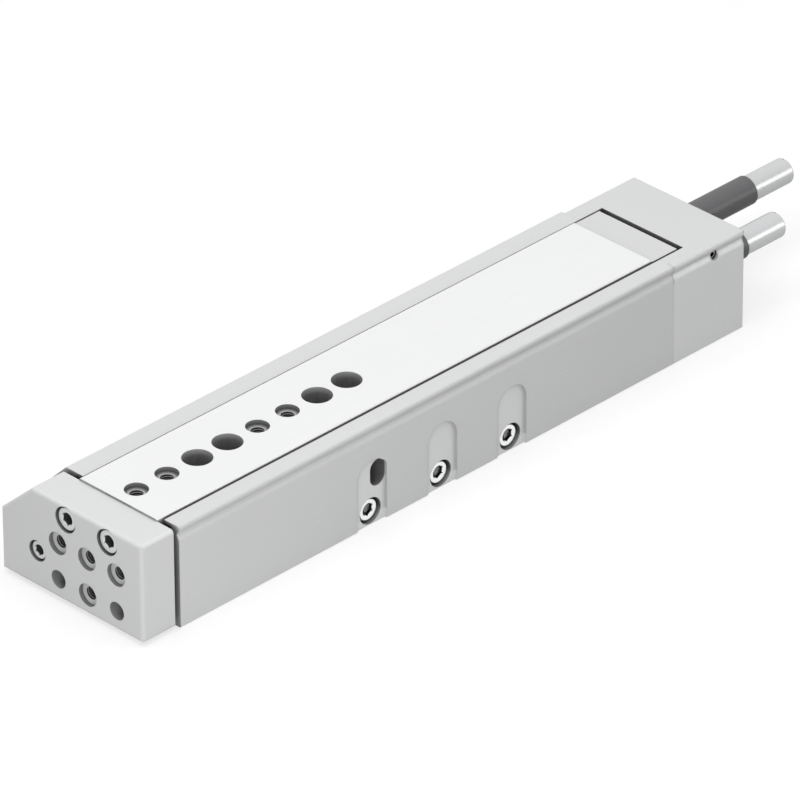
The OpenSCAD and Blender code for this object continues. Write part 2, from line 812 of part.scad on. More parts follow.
module rod_screw() color(screw_color) {
    translate([rod_seat_x + rod_head_h, rod_y, rod_z]) rotate([0, 90, 0])
        socket_screw(rod_screw_d, rod_head_d, rod_head_h, rod_screw_len, hex_size(rod_screw_d));
}

// The rod's spigot carries the piston, and the rod screw enters its front end.
module piston_rod() color(steel_color) {
    difference() {
        union() {
            x_rod(rod_d, piston_x + piston_len, yoke_x, rod_y, rod_z);
            x_rod(spigot_d, piston_x + spigot_end, piston_x + piston_len + eps, rod_y, rod_z);
        }
        x_rod(rod_screw_d + 2 * seat_play, rod_screw_end_x - tap_extra, yoke_x + past,
            rod_y, rod_z);
    }
}

module piston() color(piston_color) {
    difference() {
        x_rod(bore_d - 2 * run_play, piston_x, piston_x + piston_len, rod_y, rod_z);
        x_rod(spigot_d + 2 * seat_play, piston_x - past, piston_x + piston_len + past,
            rod_y, rod_z);
        x_rod(nut_recess_d, piston_x - past, nut_seat_x, rod_y, rod_z);
        for (x = seal_x) x_ring(bore_d + past, seal_root_d, x, x + seal_w, rod_y, rod_z);
        x_ring(bore_d + past, seal_root_d, magnet_x, magnet_x + magnet_w, rod_y, rod_z);
    }
}

module piston_seals() color(rubber_color) {
    for (x = seal_x)
        x_ring(bore_d - 2 * run_play, seal_root_d + 2 * seat_play, x, x + seal_w, rod_y, rod_z);
}

module piston_magnet() color(dark_color) {
    x_ring(bore_d - magnet_sink, seal_root_d + 2 * seat_play, magnet_x, magnet_x + magnet_w,
        rod_y, rod_z);
}

module piston_nut() color(screw_color) {
    translate([nut_seat_x - nut_h, rod_y, rod_z]) rotate([0, 90, 0]) difference() {
        cylinder(d = nut_d, h = nut_h, $fn = 6);
        translate([0, 0, -past]) cylinder(d = spigot_d + 2 * seat_play, h = nut_h + 2 * past);
    }
}

module retract_sleeve() color(dark_color) {
    x_ring(sleeve_d, sleeve_bore_d, retract_rear_x, retract_sleeve_x, retract_y, stop_z);
}

module advance_sleeve() color(dark_color) {
    guide_x = advance_sleeve_x - guide_end_len;
    difference() {
        x_rod(sleeve_d, advance_rear_x, advance_sleeve_x, advance_y, stop_z);
        x_rod(sleeve_bore_d, advance_rear_x - past, guide_x, advance_y, stop_z);
        x_rod(buffer_d + 2 * run_play, guide_x - past, advance_sleeve_x + past,
            advance_y, stop_z);
    }
}

// Absorber body: bore for the plunger in front, slotted tail with a rounded edge.
module absorber(tail_x, y) {
    translate([tail_x, y, stop_z]) rotate([0, 90, 0]) difference() {
        rotate_extrude() difference() {
            square([absorber_d / 2, absorber_len]);
            translate([absorber_d / 2 - tail_edge_r, tail_edge_r]) mirror([0, 1])
                corner_cut(tail_edge_r);
        }
        translate([0, 0, absorber_len - plunger_bore_len])
            cylinder(d = plunger_d + 2 * run_play, h = plunger_bore_len + past);
        translate([-absorber_d / 2, -tail_slot_w / 2, -past])
            cube([absorber_d, tail_slot_w, tail_slot_deep + past]);
    }
}

module retract_absorber() color(screw_color) absorber(retract_tail_x, retract_y);
module advance_absorber() color(screw_color) absorber(advance_tail_x, advance_y);

module retract_plunger() color(steel_color) {
    x_rod(plunger_d, retract_front_x - plunger_grip, retract_tip_x - buffer_len + buffer_grip,
        retract_y, stop_z);
}

module buffer(tip_x, y) {
    back_x = tip_x - buffer_len;
    difference() {
        x_rod(buffer_d, back_x, tip_x, y, stop_z);
        x_rod(plunger_d + 2 * seat_play, back_x - past, back_x + buffer_grip, y, stop_z);
    }
}

module retract_buffer() color(rubber_color) buffer(retract_tip_x, retract_y);

// The advance plunger reaches its buffer through a pusher that the sleeve guides.
module advance_plunger() color(steel_color) {
    pusher_x = advance_front_x + plunger_stroke + pusher_gap;
    buffer_x = advance_tip_x - buffer_len;
    x_rod(plunger_d, advance_front_x - plunger_grip, pusher_x + eps, advance_y, stop_z);
    x_rod(buffer_d, pusher_x, buffer_x, advance_y, stop_z);
    x_rod(plunger_d, buffer_x - eps, buffer_x + buffer_grip, advance_y, stop_z);
}

module advance_buffer() color(rubber_color) buffer(advance_tip_x, advance_y);

// Flat strip with one round window for each ball.
module ball_cage(side) {
    y = guide_y + side * track_out;
    difference() {
        translate([cage_x(), y - cage_t / 2, track_z - cage_h / 2]) cube([cage_len, cage_t, cage_h]);
        for (i = [0 : ball_count() - 1])
            y_rod(ball_d + 2 * seat_play, ball_x(i), y - cage_t, y + cage_t, track_z);
    }
}

module ball_row(side) {
    for (i = [0 : ball_count() - 1])
        translate([ball_x(i), guide_y + side * track_out, track_z]) sphere(d = ball_d, $fn = 24);
}

module left_ball_cage() color(brass_color) ball_cage(-1);
module right_ball_cage() color(brass_color) ball_cage(1);
module left_balls() color(steel_color) ball_row(-1);
module right_balls() color(steel_color) ball_row(1);

housing();
rear_cap();
cap_screws();
left_guide_rail();
right_guide_rail();
rod_bush();
bush_o_ring();
rod_seal();
bush_retaining_ring();
side_plugs();
plug_sealing_rings();
set_screw();
stop_block();
stop_block_screws();
slide();
yoke_plate();
yoke_screws();
yoke_dowels();
rod_screw();
piston_rod();
piston();
piston_seals();
piston_magnet();
piston_nut();
retract_sleeve();
retract_absorber();
retract_plunger();
retract_buffer();
advance_sleeve();
advance_absorber();
advance_plunger();
advance_buffer();
left_ball_cage();
left_balls();
right_ball_cage();
right_balls();
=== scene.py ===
"""Looks of the pneumatic slide table: materials, threads, screw heads, light and camera for its frame."""
import json
import math

import bmesh
import bpy
from mathutils import Matrix, Vector


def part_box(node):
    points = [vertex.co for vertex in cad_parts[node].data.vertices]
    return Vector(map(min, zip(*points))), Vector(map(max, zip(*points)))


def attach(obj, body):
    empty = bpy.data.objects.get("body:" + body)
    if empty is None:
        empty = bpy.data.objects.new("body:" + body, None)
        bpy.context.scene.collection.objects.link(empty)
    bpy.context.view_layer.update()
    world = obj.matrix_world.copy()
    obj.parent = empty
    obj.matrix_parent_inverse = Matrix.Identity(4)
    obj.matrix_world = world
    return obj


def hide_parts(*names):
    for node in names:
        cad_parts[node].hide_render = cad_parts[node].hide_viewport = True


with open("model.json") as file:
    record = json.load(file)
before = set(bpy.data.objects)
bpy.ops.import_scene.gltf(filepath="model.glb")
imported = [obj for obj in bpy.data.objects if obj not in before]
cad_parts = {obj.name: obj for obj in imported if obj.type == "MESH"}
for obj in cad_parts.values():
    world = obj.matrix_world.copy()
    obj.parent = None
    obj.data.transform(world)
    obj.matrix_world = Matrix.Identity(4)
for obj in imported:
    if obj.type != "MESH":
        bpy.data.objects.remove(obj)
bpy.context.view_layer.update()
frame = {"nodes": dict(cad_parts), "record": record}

MM = 0.001
NODES = frame["nodes"]

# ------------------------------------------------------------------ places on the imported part
housing_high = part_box("housing")[1]
yoke_low, yoke_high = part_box("yoke_plate")
slide_low, slide_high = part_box("slide")

GUIDE_Y = (slide_low.y + slide_high.y) / 2
YOKE_GAP_X = (housing_high.x + yoke_low.x) / 2
YOKE_GAP_HALF = (yoke_low.x - housing_high.x) / 2 + 0.2 * MM

# Inner end of the grooves along the side faces, their lower rim, and the middle of their lower facet
GROOVE_Y = 44.0 * MM
GROOVE_LOW_Z = 46.5 * MM
GROOVE_FLOOR_Z = 49.8 * MM

POCKET_FLOOR_Y = 47.0 * MM
SIDE_FLOOR = POCKET_FLOOR_Y - 0.15 * MM
REAR_STEP = 18.3 * MM

# Centring recesses and the tapped holes below them
RECESS = 2.6 * MM
HOLE_GRID = 20 * MM
FIRST_HOLE = 12 * MM
LOWER_ROW_Z = 12.7 * MM
CORE_R = 3.4 * MM
THREAD_PITCH = 1.25 * MM
RIDGE = 0.3 * MM

# ------------------------------------------------------------------ painted shade of holes and gaps
# Share of its colour that the darkest painted shade keeps, deep in holes and gaps
PAINTED_SHADE_DARK = 0.09

# How far the two kinds of painted shade reach, and the share of open sky at which each is full and gone
HOLE_REACH = 14.0 * MM
HOLE_FULL = 0.55
HOLE_GONE = 0.85
GAP_REACH = 6.0 * MM
GAP_FULL = 0.4
GAP_GONE = 0.9

# Height over the floor up to which nothing counts as a gap for the painted shade, apart from the gap behind
# the yoke
FOOT_LOW = 5.0 * MM
FOOT_HIGH = 8.0 * MM

# How light a place stays under the painted shade, from 0 for a deep hole to 1 for an open face
GAP_LEFT = 0.12
SIDE_HOLE_LEFT = 0.15
YOKE_WALL_LEFT = 0.32
SLIDE_WALL_LEFT = 0.3
SLIDE_FLOOR_LEFT = 0.42
STEP_LEFT = 0.75
PIN_HOLE_LEFT = 0.4

# How much darker the painted shade on the walls of the slide's holes starts, right under their rim
HOLE_WALL_DEEP = 0.35

# Room for rounding at the masks' limits
SLACK = 0.1 * MM

# Painted highlight that makes edges paler: how fast the mask grows with the bend, its range, and the
# highlight colour's factor
EDGE_HIGHLIGHT_GAIN = 2.2
EDGE_HIGHLIGHT_LOW = 0.1
EDGE_HIGHLIGHT_HIGH = 0.55
EDGE_HIGHLIGHT = 1.12


# ------------------------------------------------------------------ node tree helpers
class NodeTree:
    """A node tree with short calls for the nodes that repeat."""

    def __init__(self, tree):
        self.nodes = tree.nodes
        self.links = tree.links
        self.nodes.clear()

    def feed(self, socket, value):
        """Links a node's output to a socket, or sets a constant on the socket itself."""
        if isinstance(value, bpy.types.NodeSocket):
            self.links.new(value, socket)
        else:
            socket.default_value = value

    def node(self, kind, inputs=None, **settings):
        made = self.nodes.new(kind)
        for key, value in settings.items():
            setattr(made, key, value)
        for key, value in (inputs or {}).items():
            self.feed(made.inputs[key], value)
        return made

    def math(self, operation, a, b=0.0, clamp=False):
        return self.node("ShaderNodeMath", {0: a, 1: b}, operation=operation, use_clamp=clamp).outputs[0]

    def seen_straight(self):
        """1 for rays from the camera, a mirror or a clear piece, 0 for rays that light the object."""
        path = self.node("ShaderNodeLightPath")
        straight = self.math("MAXIMUM", path.outputs["Is Camera Ray"], path.outputs["Is Glossy Ray"])
        return self.math("MAXIMUM", straight, path.outputs["Is Transmission Ray"])


class Look(NodeTree):
    """A material of one principled shader, with masks that stay with the piece in every pose."""

    def __init__(self, name):
        self.material = bpy.data.materials.new(name)
        self.material.use_nodes = True
        super().__init__(self.material.node_tree)
        self.shader = self.node("ShaderNodeBsdfPrincipled")
        self.node("ShaderNodeOutputMaterial", {"Surface": self.shader.outputs["BSDF"]})
        self.coords = self.node("ShaderNodeTexCoord").outputs["Object"]

    def put(self, socket, value):
        self.feed(self.shader.inputs[socket], value)

    def noise(self, scale, stretch=(1, 1, 1), detail=3.0, rough=0.6):
        """Noise over the row frame. scale is in cells per metre, stretch makes them longer along an axis."""
        scales = [scale / factor for factor in stretch]
        mapping = self.node("ShaderNodeMapping", {"Vector": self.coords, "Scale": scales})
        made = self.node("ShaderNodeTexNoise", {"Vector": mapping.outputs["Vector"], "Scale": 1.0,
                                                "Detail": detail, "Roughness": rough})
        return made.outputs["Fac"]

    def spread(self, value, low, high, start=0.3, end=0.7):
        """Maps start..end to low..high. The default suits a noise value."""
        made = self.node("ShaderNodeMapRange", {"Value": value, "From Min": start, "From Max": end,
                                                "To Min": low, "To Max": high})
        return made.outputs["Result"]

    def mix(self, factor, a, b):
        """Mixes two colours. The node's colour sockets are 6 and 7, and its colour output is 2."""
        return self.node("ShaderNodeMix", {0: factor, 6: a, 7: b}, data_type="RGBA").outputs[2]

    def edge_normal(self, radius):
        return self.node("ShaderNodeBevel", {"Radius": radius}, samples=4).outputs["Normal"]

    def edge_mask(self, rounded):
        """1 on sharp edges, 0 on flat faces: where the rounded normal leaves the true one."""
        true = self.node("ShaderNodeNewGeometry").outputs["Normal"]
        made = self.node("ShaderNodeVectorMath", {0: rounded, 1: true}, operation="DOT_PRODUCT")
        return self.math("MULTIPLY", self.inverse(made.outputs["Value"]), EDGE_HIGHLIGHT_GAIN, clamp=True)

    def bump(self, height, strength, distance, normal):
        made = self.node("ShaderNodeBump", {"Height": height, "Strength": strength, "Distance": distance,
                                            "Normal": normal})
        return made.outputs["Normal"]

    def place(self, axis):
        """One coordinate of the point in the rest frame."""
        return self.node("ShaderNodeSeparateXYZ", {"Vector": self.coords}).outputs[axis]

    def distance(self, axis, middle=0.0):
        """How far the point is from a plane across an axis."""
        return self.math("ABSOLUTE", self.math("SUBTRACT", self.place(axis), middle))

    def facing(self, axis):
        """1 where the true surface looks along an axis."""
        normal = self.node("ShaderNodeNewGeometry").outputs["True Normal"]
        turned = self.node("ShaderNodeVectorTransform", {"Vector": normal}, vector_type="NORMAL",
                           convert_from="WORLD", convert_to="OBJECT")
        part = self.node("ShaderNodeSeparateXYZ", {"Vector": turned.outputs["Vector"]}).outputs[axis]
        return self.spread(part, 0.0, 1.0, start=0.3, end=0.5)

    def beyond(self, axis, limit):
        return self.math("GREATER_THAN", self.place(axis), limit)

    def before(self, axis, limit):
        return self.math("LESS_THAN", self.place(axis), limit)

    def outside(self, axis, reach, middle=0.0):
        return self.math("GREATER_THAN", self.distance(axis, middle), reach)

    def within(self, axis, reach, middle=0.0):
        return self.math("LESS_THAN", self.distance(axis, middle), reach)

    def both(self, a, b):
        return self.math("MULTIPLY", a, b)

    def either(self, a, b):
        return self.math("MAXIMUM", a, b)

    def inverse(self, a):
        return self.math("SUBTRACT", 1.0, a)

    def painted_shade_keep(self, shallow=None, lit=None, deep=None):
        """1 on open faces, towards 0 in the painted shade inside holes and in the gaps between two pieces,
        in any pose.

        shallow is a mask of low steps and recesses, which their own painted shade darkens no further than it
        says, lit is a mask of faces that the painted gap shade doesn't darken, and deep is a mask of walls
        that start dark right under their rim.
        """
        hole = self.node("ShaderNodeAmbientOcclusion", {"Distance": HOLE_REACH}, samples=8, only_local=True)
        gap = self.node("ShaderNodeAmbientOcclusion", {"Distance": GAP_REACH}, samples=8)
        inner = self.spread(hole.outputs["AO"], 0.0, 1.0, HOLE_FULL, HOLE_GONE)
        if deep is not None:
            inner = self.both(inner, self.inverse(deep))
        if shallow is not None:
            inner = self.either(inner, shallow)
        foot = self.spread(self.place("Z"), 1.0, 0.0, FOOT_LOW, FOOT_HIGH)
        foot = self.both(foot, self.outside("X", YOKE_GAP_HALF, YOKE_GAP_X))
        narrow = self.either(self.spread(gap.outputs["AO"], GAP_LEFT, 1.0, GAP_FULL, GAP_GONE), foot)
        if lit is not None:
            narrow = self.either(narrow, lit)
        return self.both(inner, narrow)


# ------------------------------------------------------------------ kinds of material
# Scales of the finer and coarser noises, in cells per metre
CLOUDS = 14.0
FIBRES = 90.0
BLOOM = 350.0
FLECKS = 420.0
EDGE_HIGHLIGHT_NOISE = 600.0
PITS = 3800.0
BLASTED = 5200.0


def shade(colour, factor):
    return [min(1.0, channel * factor) for channel in colour] + [1.0]


def anodised(name, colour, metallic=0.1, rough=0.45, along=(1, 1, 1), grain=1400.0, contrast=0.03,
             edge=0.35 * MM, shallow=None, patches=(), lit=None, deep=None):
    """Matt anodised aluminium: fine grain, faint streaks along the milling direction, paler edges as a
    painted highlight, and painted shade in holes and gaps.

    shallow, lit and deep take the look and give a mask for the painted shade. patches pairs such a mask of a
    machined patch, or of a patch of painted shade, with how much duller or brighter it is. edge is the
    radius of the shaded edges, or takes the look and gives it.
    """
    look = Look(name)
    streaks = look.noise(grain, along, detail=4.0, rough=0.65)
    cloud = look.noise(CLOUDS, detail=2.0, rough=0.5)
    dull = shade(colour, 1.0 - contrast)
    bright = shade(colour, 1.0 + contrast)
    base = look.mix(look.spread(streaks, 0.0, 1.0), dull, bright)
    base = look.mix(look.spread(cloud, 0.0, 1.0), base, shade(colour, 1.0 - contrast * 0.6))
    for patch, factor in patches:
        base = look.mix(patch(look), base, shade(colour, factor))
    rounded = look.edge_normal(edge(look) if callable(edge) else edge)
    # Painted highlight: edges paler where the rounded normal bends, broken up by noise
    edge_highlight = look.both(look.edge_mask(rounded), look.spread(look.noise(EDGE_HIGHLIGHT_NOISE), EDGE_HIGHLIGHT_LOW, EDGE_HIGHLIGHT_HIGH))
    # Painted shade in holes and gaps, from ambient occlusion, darkens the base colour
    painted_keep = look.painted_shade_keep(*(mask(look) if mask else None for mask in (shallow, lit, deep)))
    look.put("Base Color", look.mix(painted_keep, shade(colour, PAINTED_SHADE_DARK), look.mix(edge_highlight, base, shade(colour, EDGE_HIGHLIGHT))))
    look.put("Metallic", metallic)
    look.put("Roughness", look.spread(streaks, rough - 0.05, rough + 0.06))
    grains = look.noise(BLASTED, detail=2.0)
    look.put("Normal", look.bump(grains, strength=0.12, distance=0.05 * MM, normal=rounded))
    return look.material


def ground_steel(name, colour, metallic=0.9, rough=0.3, along=(1, 1, 1), grain=2500.0, contrast=0.12,
                 coat=0.0, relief=0.1, swing=0.16, specular=0.5):
    """Turned, ground or plated steel or brass: fine lines along one direction, a few darker flecks, and
    painted shade in holes and gaps.
    """
    look = Look(name)
    lines = look.noise(grain, along, detail=5.0, rough=0.7)
    flecks = look.noise(FLECKS, detail=3.0)
    dull = shade(colour, 1.0 - contrast)
    bright = shade(colour, 1.0 + contrast * 0.5)
    base = look.mix(look.spread(lines, 0.0, 1.0), dull, bright)
    base = look.mix(look.spread(flecks, 0.0, 0.35, start=0.55, end=0.8), base, shade(colour, 0.8))
    rounded = look.edge_normal(0.2 * MM)
    # Painted shade darkens the base colour in holes and gaps
    look.put("Base Color", look.mix(look.painted_shade_keep(), shade(colour, PAINTED_SHADE_DARK), base))
    look.put("Metallic", metallic)
    look.put("Specular IOR Level", specular)
    if coat:
        look.put("Coat Weight", coat)
        look.put("Coat Roughness", 0.08)
    look.put("Roughness", look.spread(lines, rough - 0.4 * swing, rough + 0.6 * swing))
    look.put("Normal", look.bump(lines, strength=relief, distance=0.03 * MM, normal=rounded))
    return look.material


def rubber(name, colour, rough=0.55):
    """Moulded rubber, polyurethane or bonded magnet with a dull bloom and a fine pitted skin."""
    look = Look(name)
    bloom = look.noise(BLOOM, detail=4.0)
    pits = look.noise(PITS, detail=2.0)
    look.put("Base Color", look.mix(look.spread(bloom, 0.0, 1.0), shade(colour, 0.85), shade(colour, 1.5)))
    look.put("Roughness", look.spread(bloom, rough - 0.08, rough + 0.12))
    rounded = look.edge_normal(0.15 * MM)
    look.put("Normal", look.bump(pits, strength=0.25, distance=0.05 * MM, normal=rounded))
    return look.material


# ------------------------------------------------------------------ masks of places on the part
def side_steps(look):
    """The side faces of the housing, with their pockets and grooves, down to the pockets' floor."""
    return look.spread(look.distance("Y"), SIDE_HOLE_LEFT, 1.0, SIDE_FLOOR - SLACK, SIDE_FLOOR)


def groove_edge(look):
    """Radius of the shaded edges: wide round the grooves, but sharp at the lip beside the slide."""
    usual = 0.5 * MM
    wide = 2.2 * MM
    lip_reach = 3.0 * MM
    lip_cut = 0.9
    near = look.both(look.outside("Y", GROOVE_Y), look.beyond("Z", GROOVE_LOW_Z))
    lip = look.within("Y", lip_reach, slide_low.y)
    sharp = look.inverse(look.both(lip, lip_cut))
    return look.both(look.spread(near, usual, wide, 0.0, 1.0), sharp)


def groove_floor(look):
    """The grooves' lower facets, which look up and would shine too much, get painted shade."""
    full = 1.4 * MM
    gone = 2.0 * MM
    height = look.distance("Z", GROOVE_FLOOR_Z)
    return look.both(look.outside("Y", GROOVE_Y), look.spread(height, 1.0, 0.0, full, gone))


def pocket_floors(look):
    """The milled floors of the pockets in the housing's side face."""
    return look.both(look.within("Y", 2 * SLACK, POCKET_FLOOR_Y), look.facing("Y"))


def recesses(look, axis, face, floor_left, wall_left):
    """Centring recesses under a face: how light their floors and walls stay under the painted shade."""
    inside = look.beyond(axis, face - RECESS - SLACK)
    on_face = look.beyond(axis, face - 3 * SLACK)
    floor = look.both(look.facing(axis), look.either(on_face, floor_left))
    return look.both(inside, look.either(floor, wall_left))


def slide_recesses(look):
    return recesses(look, "Z", slide_high.z, SLIDE_FLOOR_LEFT, SLIDE_WALL_LEFT)


def slide_holes(look):
    """Walls of the holes in the slide's top face, which lie in its front half, with deeper painted shade."""
    reach = 9.0 * MM
    inside = look.both(look.within("Y", reach, GUIDE_Y), look.beyond("X", 0.0))
    return look.both(look.both(inside, look.inverse(look.facing("Z"))), HOLE_WALL_DEEP)


def yoke_recesses(look):
    """The centring recesses, and the two pin holes at the ends of the lower row, where light keeps the
    painted shade lighter.
    """
    aside = 12.0 * MM
    row_top = 20.0 * MM
    pins = look.both(look.outside("Y", aside, GUIDE_Y), look.before("Z", row_top))
    centring = recesses(look, "X", yoke_high.x, 1.0, YOKE_WALL_LEFT)
    return look.either(centring, look.both(pins, PIN_HOLE_LEFT))


def yoke_floors(look):
    """The floors of the yoke's centring recesses, which the painted gap shade leaves alone."""
    return look.both(look.facing("X"), look.beyond("X", yoke_high.x - RECESS - SLACK))


def light_sides(look):
    """The channel's left wall, which looks towards the light, and the low steps of the side faces, where the
    painted gap shade stays light.
    """
    wall_reach = 1.0 * MM
    yoke_room = 2.0 * MM
    left = look.before("Y", slide_low.y + wall_reach)
    high = look.beyond("Z", slide_low.z)
    wall = look.both(look.both(left, high), look.facing("Y"))
    steps = look.both(look.outside("Y", SIDE_FLOOR), look.before("X", housing_high.x - yoke_room))
    return look.either(wall, look.both(steps, STEP_LEFT))


def rear_step(look):
    """The lower milled step at the slide's rear end."""
    blur = 0.4 * MM
    step_x = slide_low.x + REAR_STEP
    return look.spread(look.place("X"), 1.0, 0.0, step_x - blur, step_x + blur)


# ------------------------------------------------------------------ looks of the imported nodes
ALONG_X = (40, 1, 1)
ROUND_X = (0.25, 6, 6)

LOOKS = {
    # On the housing, groove_floor paints shade on the grooves' lower facets
    "housing_aluminium": anodised(
        "housing_anodised", (0.74, 0.745, 0.745), along=ALONG_X, edge=groove_edge, shallow=side_steps,
        lit=light_sides, patches=((groove_floor, 0.92), (pocket_floors, 1.15))),
    "cap_aluminium": anodised(
        "cap_anodised", (0.69, 0.695, 0.695), metallic=0.35, rough=0.5, along=(3, 3, 3),
        edge=groove_edge, shallow=side_steps, lit=light_sides),
    "slide_aluminium": anodised(
        "slide_anodised", (0.915, 0.92, 0.92), along=ALONG_X, contrast=0.02,
        patches=((rear_step, 0.79),), shallow=slide_recesses, deep=slide_holes),
    "yoke_aluminium": anodised(
        "yoke_anodised", (0.76, 0.765, 0.765), along=(1, 10, 1), edge=0.5 * MM,
        shallow=yoke_recesses, lit=yoke_floors),
    "rail_steel": ground_steel("rail_ground", (0.42, 0.43, 0.45), along=ALONG_X),
    "ball_steel": ground_steel(
        "ball_polished", (0.75, 0.76, 0.78), metallic=1.0, rough=0.12, contrast=0.04),
    "cage_brass": ground_steel("cage_brass", (0.62, 0.45, 0.18), rough=0.35, along=ALONG_X),
    "bush_brass": ground_steel("bush_brass", (0.60, 0.43, 0.17), rough=0.32, along=ROUND_X),
    "seal_rubber": rubber("seal_rubber", (0.03, 0.03, 0.033)),
    "buffer_rubber": rubber("buffer_polyurethane", (0.045, 0.045, 0.05), rough=0.45),
    "spring_steel": ground_steel("ring_phosphated", (0.09, 0.09, 0.095), metallic=0.5, rough=0.5),
    "screw_steel": ground_steel(
        "screw_zinc", (0.95, 0.955, 0.96), metallic=1.0, rough=0.18, contrast=0.03),
    "sealing_ring_aluminium": ground_steel("sealing_ring", (0.55, 0.56, 0.57), rough=0.4),
    "block_steel": ground_steel("block_ground", (0.32, 0.33, 0.35), along=(1, 20, 1)),
    "pin_steel": ground_steel("pin_ground", (0.50, 0.51, 0.53), along=ROUND_X),
    "rod_steel": ground_steel(
        "rod_chrome", (0.66, 0.67, 0.69), metallic=1.0, rough=0.14, along=ROUND_X, contrast=0.03),
    "piston_aluminium": ground_steel("piston_turned", (0.60, 0.60, 0.60), along=ROUND_X),
    "magnet": rubber("magnet_bonded", (0.06, 0.06, 0.065)),
    "sleeve_steel": ground_steel(
        "sleeve_blackened", (0.18, 0.18, 0.185), metallic=0.0, rough=0.4, along=ROUND_X, coat=0.3,
        specular=0.0),
    "absorber_steel": ground_steel(
        "absorber_nickel", (0.70, 0.705, 0.71), metallic=0.35, rough=0.22, along=ROUND_X, grain=900.0,
        contrast=0.02, relief=0.0, swing=0.04, specular=0.0),
}
SATIN_NODES = ("yoke_screws", "rod_screw")
NODE_LOOKS = {
    node: ground_steel(f"{node}_satin", (0.82, 0.825, 0.83), metallic=0.3, rough=0.4, contrast=0.04)
    for node in SATIN_NODES}

slot_of = {row["node"]: row["material_slot"] for row in frame["record"]["subparts"]}
for node, piece in NODES.items():
    piece.data.materials.clear()
    piece.data.materials.append(NODE_LOOKS.get(node) or LOOKS[slot_of[node]])


# ------------------------------------------------------------------ added pieces
def add_object(name, shape, look):
    """Turns a finished bmesh into an object of the scene with one material."""
    mesh = bpy.data.meshes.new(name)
    shape.to_mesh(mesh)
    shape.free()
    piece = bpy.data.objects.new(name, mesh)
    piece.data.materials.append(look)
    bpy.context.scene.collection.objects.link(piece)
    return piece


# ------------------------------------------------------------------ threads
def thread(name, axis, mouth, turns, body, look):
    """Helical ridge on the wall of a tapped hole, which runs from its mouth against the axis."""
    steps = 24
    overlap = 0.02 * MM
    # Across the ridge: share of the pitch from its middle, and share of its full height
    profile = ((-0.42, 0.0), (-0.08, 1.0), (0.08, 1.0), (0.42, 0.0))
    shape = bmesh.new()
    rows = []
    total = turns * steps
    for i in range(total + 1):
        angle = 2 * math.pi * i / steps
        fade = min(1.0, i / steps, (total - i) / steps)
        row = []
        for offset, rise in profile:
            radius = CORE_R + overlap - (RIDGE + overlap) * rise * fade
            u = radius * math.cos(angle)
            v = radius * math.sin(angle)
            w = -THREAD_PITCH * (0.5 + i / steps + offset)
            place = {"x": (w, u, v), "z": (u, v, w)}[axis]
            row.append(shape.verts.new(Vector(mouth) + Vector(place)))
        rows.append(row)
    for a, b in zip(rows, rows[1:]):
        for k in range(3):
            shape.faces.new((a[k], a[k + 1], b[k + 1], b[k]))
        shape.faces.new((a[3], a[0], b[0], b[3]))
    shape.faces.new(rows[0])
    shape.faces.new(rows[-1][::-1])
    bmesh.ops.recalc_face_normals(shape, faces=shape.faces)
    piece = add_object(name, shape, look)
    for face in piece.data.polygons:
        face.use_smooth = True
    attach(piece, body)


# Label, column from the guide's middle, and row from the lower one
YOKE_TAPPED = (("upper_left", -1, 1), ("upper_middle", 0, 1), ("upper_right", 1, 1), ("lower_middle", 0, 0))
for label, column, row in YOKE_TAPPED:
    mouth = (yoke_high.x - RECESS, GUIDE_Y + column * HOLE_GRID, LOWER_ROW_Z + row * HOLE_GRID)
    thread(f"yoke_thread_{label}", "x", mouth, 9, "slide", LOOKS["yoke_aluminium"])

# The tapped ones of the slide's eight holes, counted from the front
SLIDE_TAPPED = (0, 1, 4, 5)
for number, hole in enumerate(SLIDE_TAPPED, 1):
    mouth = (slide_high.x - FIRST_HOLE - hole * HOLE_GRID, GUIDE_Y, slide_high.z - RECESS)
    thread(f"slide_thread_{number}", "z", mouth, 10, "slide", LOOKS["slide_aluminium"])


# ------------------------------------------------------------------ screw heads
def socket_screw(name, top, out, head_r, head_h, shank_r, length, hex_flat, body, look, slot):
    """Screw with a chamfered head and a hexagon socket. top is its head's centre, out the way it looks."""
    steps = 48
    chamfer = 0.7 * MM
    socket_deep = max(head_h * 0.6, 2.2 * MM)
    lead_in = 0.15 * MM
    lead_in_deep = 0.5 * MM
    drill_r = 0.3 * MM
    drill_deep = 0.9 * MM

    def circle(radius):
        return lambda angle: radius

    def hexagon(angle):
        return hex_flat / 2 / math.cos((angle + math.pi / 6) % (math.pi / 3) - math.pi / 6)

    # From the drill point in the socket over the head's top to the shank's end
    mouth = hex_flat / 2 / math.cos(math.pi / 6) + lead_in
    profile = (
        (circle(drill_r), -socket_deep - drill_deep),
        (hexagon, -socket_deep),
        (hexagon, -lead_in_deep),
        (circle(mouth), 0.0),
        (circle(head_r - chamfer), 0.0),
        (circle(head_r), -chamfer),
        (circle(head_r), -head_h),
        (circle(shank_r), -head_h),
        (circle(shank_r), -head_h - length))
    shape = bmesh.new()
    rings = []
    for radius, height in profile:
        ring = []
        for i in range(steps):
            angle = 2 * math.pi * i / steps
            point = (radius(angle) * math.cos(angle), radius(angle) * math.sin(angle), height)
            ring.append(shape.verts.new(point))
        rings.append(ring)
    for a, b in zip(rings, rings[1:]):
        for i in range(steps):
            j = (i + 1) % steps
            shape.faces.new((a[i], a[j], b[j], b[i]))
    shape.faces.new(rings[0])
    shape.faces.new(rings[-1])
    bmesh.ops.recalc_face_normals(shape, faces=shape.faces)
    turn = Vector(out).to_track_quat("Z", "Y").to_matrix().to_4x4()
    bmesh.ops.transform(shape, matrix=Matrix.Translation(top) @ turn, verts=shape.verts)
    piece = add_object(name, shape, look)
    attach(piece, body)
    return piece


